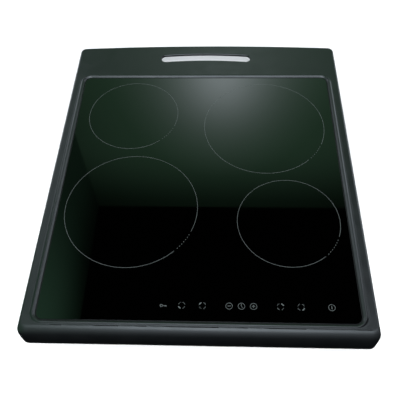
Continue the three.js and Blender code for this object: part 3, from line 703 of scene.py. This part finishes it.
def fibre():
    """Pressed mineral fibre: chalky, with short hairs and pits."""
    n = Nodes("mineral_fibre")
    n.shader_values(sheen=0.15)
    n.colour(n.ramp(n.noise(160, 6), [(0.3, (0.66, 0.62, 0.54)), (0.7, (0.82, 0.79, 0.72))]))
    n.roughness(n.spread(n.noise(120), 0.85, 1.0))
    n.bump(n.noise(600, 6), 0.6, 0.4)
    return n.material


def moulded(name, dark, light, low, high, grain_mm=0.06):
    """Moulded plastic, rubber or ceramic: a spark-eroded grain."""
    n = Nodes(name)
    n.colour(n.ramp(n.noise(70, 4), [(0.3, dark), (0.7, light)]))
    n.roughness(n.spread(n.noise(150), low, high))
    n.bump(n.noise(1600, 2), 0.3, grain_mm)
    return n.material


def circuit_board():
    """Solder mask with faint copper tracks beneath it."""
    n = Nodes("circuit_board")
    tracks = n.tree.nodes.new("ShaderNodeTexBrick")
    tracks.inputs["Scale"].default_value = 180
    tracks.inputs["Color1"].default_value = (0.010, 0.085, 0.035, 1)
    tracks.inputs["Color2"].default_value = (0.013, 0.100, 0.042, 1)
    tracks.inputs["Mortar"].default_value = (0.030, 0.160, 0.065, 1)
    n.link(n.coordinates, tracks.inputs["Vector"])
    n.colour(tracks.outputs["Color"])
    n.roughness(n.spread(n.noise(200), 0.3, 0.5))
    return n.material


def dress_nodes():
    """Gives every CAD node the material of its record slot."""
    library = {
        "enamel": enamel(),
        "glass_ceramic": glass_ceramic(),
        "silicone": silicone(),
        "galvanised": galvanised(),
        "spring_steel": brushed(
            "spring_steel", (0.50, 0.49, 0.46), (0.66, 0.65, 0.62), 0.22, 0.4, (1, 14, 1)),
        "fibre": fibre(),
        "ribbon": brushed("heating_ribbon", (0.13, 0.11, 0.10), (0.26, 0.22, 0.20), 0.45, 0.7, (1, 1, 10)),
        "ceramic": moulded("unglazed_ceramic", (0.72, 0.69, 0.62), (0.82, 0.80, 0.74), 0.55, 0.75),
        "black_plastic": moulded("black_plastic", (0.010, 0.011, 0.012), (0.018, 0.019, 0.021), 0.45, 0.6),
        "circuit_board": circuit_board(),
        "display": moulded("display_red", (0.035, 0.004, 0.004), (0.06, 0.007, 0.007), 0.2, 0.35, 0.02),
        "relay_blue": moulded("relay_case", (0.012, 0.03, 0.075), (0.02, 0.042, 0.10), 0.35, 0.5, 0.03),
        "winding": brushed("copper_winding", (0.24, 0.10, 0.045), (0.42, 0.19, 0.09), 0.3, 0.5, (1, 1, 30)),
        "lead_sleeve": moulded("lead_sleeve", (0.60, 0.58, 0.52), (0.74, 0.72, 0.66), 0.5, 0.7),
        "supply_sleeve": moulded("supply_sleeve", (0.012, 0.012, 0.013), (0.022, 0.022, 0.024), 0.5, 0.65),
        "zinc": brushed("zinc_plate", (0.52, 0.50, 0.44), (0.68, 0.66, 0.60), 0.25, 0.4, (8, 8, 1)),
    }
    slots = {entry["node"]: entry["material_slot"] for entry in frame["record"]["subparts"]}
    for name, node in frame["nodes"].items():
        for index in range(len(node.material_slots)):
            node.material_slots[index].material = library[slots[name]]
    return library


# ---------------------------------------------------------------- stage, light and camera

CAMERA_AT = Vector((0.0313, -0.5509, 0.7477))
CAMERA_TURN = (34.576, 1.577, 1.643)  # degrees, XYZ
LENS_MM = 47.69
SENSOR_MM = 36


def make_camera():
    data = bpy.data.cameras.new("main_camera")
    data.lens = LENS_MM
    data.sensor_width = SENSOR_MM
    data.clip_start = 0.01
    camera = bpy.data.objects.new("main_camera", data)
    camera.location = CAMERA_AT
    camera.rotation_euler = [math.radians(a) for a in CAMERA_TURN]
    bpy.context.collection.objects.link(camera)
    bpy.context.scene.camera = camera
    bpy.context.scene.view_settings.view_transform = "Standard"


def stage_plane(name, corners, material):
    mesh = bpy.data.meshes.new(name)
    mesh.from_pydata(corners, [], [(0, 1, 2, 3)])
    mesh.materials.append(material)
    obj = bpy.data.objects.new(name, mesh)
    bpy.context.collection.objects.link(obj)
    return obj


def floor_material():
    n = Nodes("pale_floor")
    n.shader_values(roughness=0.9, specular=0.1)
    n.colour(n.ramp(n.noise(3, 2), [(0.3, (0.90, 0.90, 0.90)), (0.7, (0.92, 0.92, 0.92))]))
    return n.material


def build_floor():
    reach = 8.0
    corners = [(-reach, -reach, 0), (reach, -reach, 0), (reach, reach, 0), (-reach, reach, 0)]
    floor = stage_plane("floor", corners, floor_material())
    floor.visible_glossy = False
    floor.visible_diffuse = False


class Wall:
    """A wall or panel that only reflections see: a wash along two axes, and a lamp's glow where asked."""

    def __init__(self, name, colour, *profiles):
        self.material = bpy.data.materials.new(name)
        self.material.use_nodes = True
        self.tree = self.material.node_tree
        self.tree.nodes.clear()
        self.place = self.tree.nodes.new("ShaderNodeTexCoord").outputs["Object"]
        self.output = self.tree.nodes.new("ShaderNodeOutputMaterial")
        self.shader = self.wash(colour, *[self.profile(axis, stops) for axis, stops in profiles])
        self.tree.links.new(self.shader, self.output.inputs["Surface"])

    def ramp(self, factor, stops, tint=(1, 1, 1)):
        """A colour ramp whose stops are (place from 0 to 1, strength)."""
        node = self.tree.nodes.new("ShaderNodeValToRGB")
        elements = node.color_ramp.elements
        elements.remove(elements[1])
        for k, (place, strength) in enumerate(stops):
            element = elements[0] if k == 0 else elements.new(place)
            element.position = place
            element.color = (*[strength * part for part in tint], 1)
        self.tree.links.new(factor, node.inputs["Fac"])
        return node.outputs["Color"]

    def profile(self, axis, stops):
        """A strength that changes along one axis; stops are (place in metres, strength)."""
        parts = self.tree.nodes.new("ShaderNodeSeparateXYZ")
        self.tree.links.new(self.place, parts.inputs["Vector"])
        first, last = stops[0][0], stops[-1][0]
        node = self.tree.nodes.new("ShaderNodeMapRange")
        node.inputs["From Min"].default_value = first
        node.inputs["From Max"].default_value = last
        self.tree.links.new(parts.outputs[axis], node.inputs["Value"])
        even = [((place - first) / (last - first), strength) for place, strength in stops]
        return self.ramp(node.outputs["Result"], even)

    def wash(self, colour, first, second):
        product = self.tree.nodes.new("ShaderNodeMath")
        product.operation = "MULTIPLY"
        self.tree.links.new(first, product.inputs[0])
        self.tree.links.new(second, product.inputs[1])
        emission = self.tree.nodes.new("ShaderNodeEmission")
        emission.inputs["Color"].default_value = (*colour, 1)
        self.tree.links.new(product.outputs["Value"], emission.inputs["Strength"])
        return emission.outputs["Emission"]

    def add_glow(self, centre, reach, stops):
        """An oval glow; each stop is its strength at a distance, as a part of the reach."""
        mapping = self.tree.nodes.new("ShaderNodeMapping")
        mapping.vector_type = "TEXTURE"
        mapping.inputs["Location"].default_value = centre
        mapping.inputs["Scale"].default_value = reach
        self.tree.links.new(self.place, mapping.inputs["Vector"])
        sphere = self.tree.nodes.new("ShaderNodeTexGradient")
        sphere.gradient_type = "SPHERICAL"
        self.tree.links.new(mapping.outputs["Vector"], sphere.inputs["Vector"])
        inward = [(1 - distance, strength) for distance, strength in reversed(stops)]
        emission = self.tree.nodes.new("ShaderNodeEmission")
        emission.inputs["Strength"].default_value = LAMP_STRENGTH
        self.tree.links.new(self.ramp(sphere.outputs["Fac"], inward, LAMP_TINT), emission.inputs["Color"])
        both = self.tree.nodes.new("ShaderNodeAddShader")
        self.tree.links.new(self.shader, both.inputs[0])
        self.tree.links.new(emission.outputs["Emission"], both.inputs[1])
        self.tree.links.new(both.outputs["Shader"], self.output.inputs["Surface"])


def only_in_reflections(obj):
    obj.visible_camera = False
    obj.visible_diffuse = False
    obj.visible_shadow = False
    obj.visible_transmission = False


def fade(start, end, high, low, steps=6):
    """Stops that ease from a high to a low strength between two places."""
    return [(start + (end - start) * k / steps, high + (low - high) * smooth_step(k / steps))
            for k in range(steps + 1)]


def dome(centre, reach, start, end, steps=6):
    """Stops of a strength that is 1 at the centre and would reach 0 at the reach."""
    places = [start + (end - start) * k / steps for k in range(steps + 1)]
    return [(place, 1 - ((place - centre) / reach) ** 2) for place in places]


def lamp_falloff(stand_off, steps=10):
    """Stops of a wall's light round a small lamp that stands off it, down to nothing at the reach."""
    def light(distance):
        return (1 + (distance / stand_off) ** 2) ** -2

    edge = light(1)
    return [(k / steps, (light(k / steps) - edge) / (1 - edge)) for k in range(steps + 1)]


# The room, in metres: a rear wall, a side wall on the left and a dark ceiling.
WALL_Y = 2.0
CORNER_X = -1.03
CEILING_Z = 3.17
REAR_UPWARD = fade(2.3, 3.2, 0.6, 0.1)
REAR_SIDEWAYS = dome(0.1, 1.6, -1.03, 1.0)
SIDE_UPWARD = fade(2.35, 3.35, 1.0, 0.1)
SIDE_SIDEWAYS = fade(0.3, 1.6, 0.65, 0.14)
REAR_TINT = (0.46, 1.0, 0.60)
SIDE_TINT = (0.43, 1.0, 0.63)
LAMP_STRENGTH = 2.75
LAMP_TINT = (0.95, 1.0, 1.1)
LAMP_GLOW = lamp_falloff(0.5)
LAMP_CENTRE = (0.04, WALL_Y, 1.65)
LAMP_REACH = (0.75, 1.5, 1.1)


def build_room():
    """Two dim walls that the polished glass mirrors."""
    rear = Wall("room_rear_wall", REAR_TINT, (2, REAR_UPWARD), (0, REAR_SIDEWAYS))
    rear.add_glow(LAMP_CENTRE, LAMP_REACH, LAMP_GLOW)
    only_in_reflections(stage_plane("room_rear_wall", [
        (CORNER_X, WALL_Y, 0), (3, WALL_Y, 0), (3, WALL_Y, CEILING_Z), (CORNER_X, WALL_Y, CEILING_Z)],
        rear.material))
    side = Wall("room_side_wall", SIDE_TINT, (2, SIDE_UPWARD), (1, SIDE_SIDEWAYS))
    only_in_reflections(stage_plane("room_side_wall", [
        (CORNER_X, -2, 0), (CORNER_X, WALL_Y, 0), (CORNER_X, WALL_Y, CEILING_Z), (CORNER_X, -2, CEILING_Z)],
        side.material))


# Soft panels beside, above and before the object, where the flat glass doesn't mirror them. Each has its
# corners in metres, its strength, and two profiles of (axis, stops) that fade it towards its ends.
PANEL_TINT = (0.84, 0.95, 1.04)
ACROSS = [(-1.6, 0.3), (-0.4, 1.0), (0.4, 1.0), (1.1, 0.35)]  # bright in the middle, dimmer at both ends
PANELS = {
    "panel_above": (
        [(-2.2, -2.6, 3.1), (2.2, -2.6, 3.1), (2.2, 0.45, 3.1), (-2.2, 0.45, 3.1)], 8.9,
        (0, ACROSS), (1, [(-2.6, 0.35), (-1.9, 0.8), (-1.3, 1.0), (0.4, 1.0)])),
    "panel_front": (
        [(-2.2, -2.7, 0), (2.2, -2.7, 0), (2.2, -2.7, 3.1), (-2.2, -2.7, 3.1)], 3.0,
        (0, ACROSS), (2, [(0.0, 0.1), (0.7, 0.2), (1.6, 0.6), (3.1, 1.0)])),
    "panel_left": (
        [(-1.02, 0.4, 0), (-1.02, 1.6, 0), (-1.02, 1.6, 1.6), (-1.02, 0.4, 1.6)], 3.2,
        (1, [(0.4, 0.6), (0.7, 1.0)]), (2, [(0.0, 0.6), (1.0, 1.0)])),
    "panel_right": (
        [(1.7, 0.3, 0), (1.7, 2.2, 0), (1.7, 2.2, 2.2), (1.7, 0.3, 2.2)], 4.4,
        (1, [(0.3, 0.6), (0.8, 1.0)]), (2, [(0.0, 0.6), (1.4, 1.0)])),
}


def build_panels():
    """Pale panels that only the curved edges mirror."""
    for name, (corners, strength, first, second) in PANELS.items():
        colour = [strength * part for part in PANEL_TINT]
        only_in_reflections(stage_plane(name, corners, Wall(name, colour, first, second).material))


def area_light(name, place, target, size, power):
    data = bpy.data.lights.new(name, "AREA")
    data.shape = "DISK"
    data.size = size
    data.energy = power
    light = bpy.data.objects.new(name, data)
    light.location = place
    light.rotation_euler = (Vector(target) - Vector(place)).to_track_quat("-Z", "Y").to_euler()
    light.visible_camera = False
    light.visible_glossy = False
    bpy.context.collection.objects.link(light)


def build_lights():
    """A soft key from above the camera, so that its shadows fall behind the object."""
    target = (0, 0, 0.03)
    area_light("key", (0.12, -1.55, 2.30), target, 0.9, 60)
    world = bpy.data.worlds.new("studio")
    world.use_nodes = True
    tree = world.node_tree
    tree.nodes.clear()
    path = tree.nodes.new("ShaderNodeLightPath")
    mix = tree.nodes.new("ShaderNodeMixShader")
    seen = tree.nodes.new("ShaderNodeBackground")
    seen.inputs["Color"].default_value = (0.95, 0.95, 0.95, 1)
    seen.inputs["Strength"].default_value = 1.0
    fill = tree.nodes.new("ShaderNodeBackground")
    fill.inputs["Color"].default_value = (0.9, 0.95, 1.0, 1)
    fill.inputs["Strength"].default_value = 0.9
    dark = tree.nodes.new("ShaderNodeBackground")
    dark.inputs["Color"].default_value = (0.9, 0.95, 1.0, 1)
    dark.inputs["Strength"].default_value = 0.003
    inner = tree.nodes.new("ShaderNodeMixShader")
    output = tree.nodes.new("ShaderNodeOutputWorld")
    tree.links.new(path.outputs["Is Glossy Ray"], inner.inputs["Fac"])
    tree.links.new(fill.outputs["Background"], inner.inputs[1])
    tree.links.new(dark.outputs["Background"], inner.inputs[2])
    tree.links.new(path.outputs["Is Camera Ray"], mix.inputs["Fac"])
    tree.links.new(inner.outputs["Shader"], mix.inputs[1])
    tree.links.new(seen.outputs["Background"], mix.inputs[2])
    tree.links.new(mix.outputs["Shader"], output.inputs["Surface"])
    bpy.context.scene.world = world


# ---------------------------------------------------------------- assembly

make_camera()
library = dress_nodes()
ink = glass_print()
build_surround(library["enamel"])
build_glass(library["glass_ceramic"])
build_seal(library["silicone"])
build_springs(library["spring_steel"])
build_zone_prints(ink)
build_key_prints(ink)
build_floor()
build_room()
build_panels()
build_lights()
